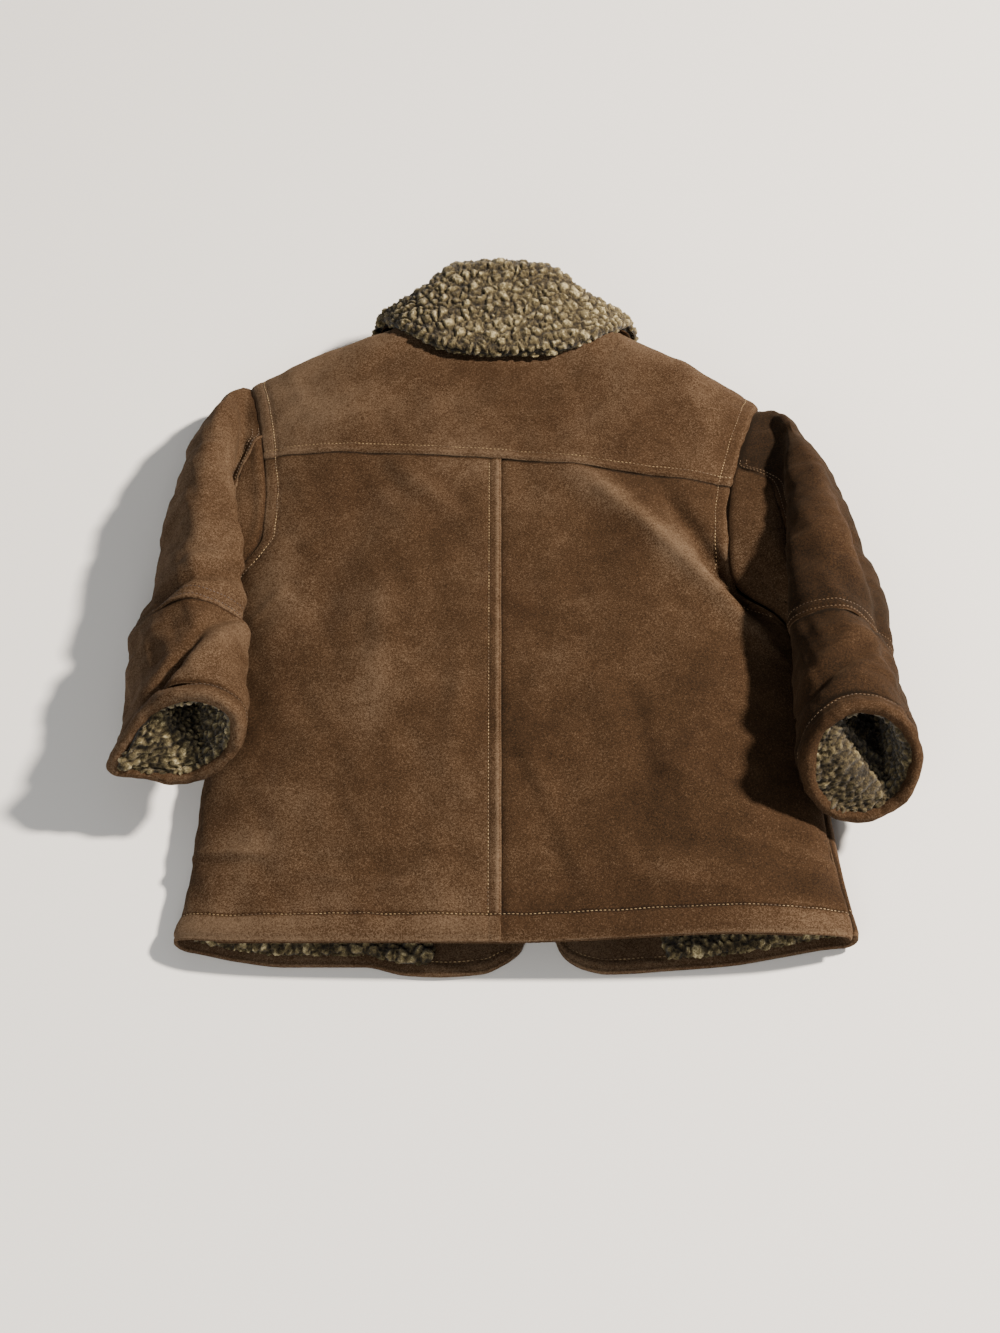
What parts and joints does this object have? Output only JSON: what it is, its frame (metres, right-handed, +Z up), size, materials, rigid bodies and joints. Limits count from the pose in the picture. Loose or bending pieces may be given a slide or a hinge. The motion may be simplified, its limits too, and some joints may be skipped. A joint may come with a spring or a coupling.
{
  "type": "child's suede jacket",
  "caption": "Child's brown suede jacket with a curly pile lining and collar, lying on its front with the cuffs and hem open.",
  "frame": {"origin": "centre of the footprint of the jacket's box, on the surface it lies on", "axes": "+X across the jacket to its right sleeve as seen, +Y from the hem to the collar, +Z up from the fronts to the back"},
  "size_m": [0.498, 0.5404, 0.0983],
  "materials": {
    "suede": "brown suede with a soft mottled nap",
    "suede_inside": "brown suede, turned hem and facing",
    "pile": "olive-beige curly pile"
  },
  "bodies": {
    "root": {"back_yoke": "suede", "back_left": "suede", "back_right": "suede", "front_left": "suede", "front_right": "suede", "top_sleeve_left": "suede", "top_sleeve_right": "suede", "under_sleeve_left": "suede", "under_sleeve_right": "suede", "forearm_left": "suede", "forearm_right": "suede", "cuff_hem_left": "suede", "cuff_hem_right": "suede", "collar_under": "suede_inside", "facing_left": "suede_inside", "facing_right": "suede_inside", "hem_turn_left": "suede_inside", "hem_turn_right": "suede_inside", "hem_turn_back": "suede_inside", "collar_pile": "pile", "cuff_lining_left": "pile", "cuff_lining_right": "pile", "lining_front_left": "pile", "lining_front_right": "pile", "lining_back": "pile", "lining_yoke": "pile"}
  },
  "joints": []
}
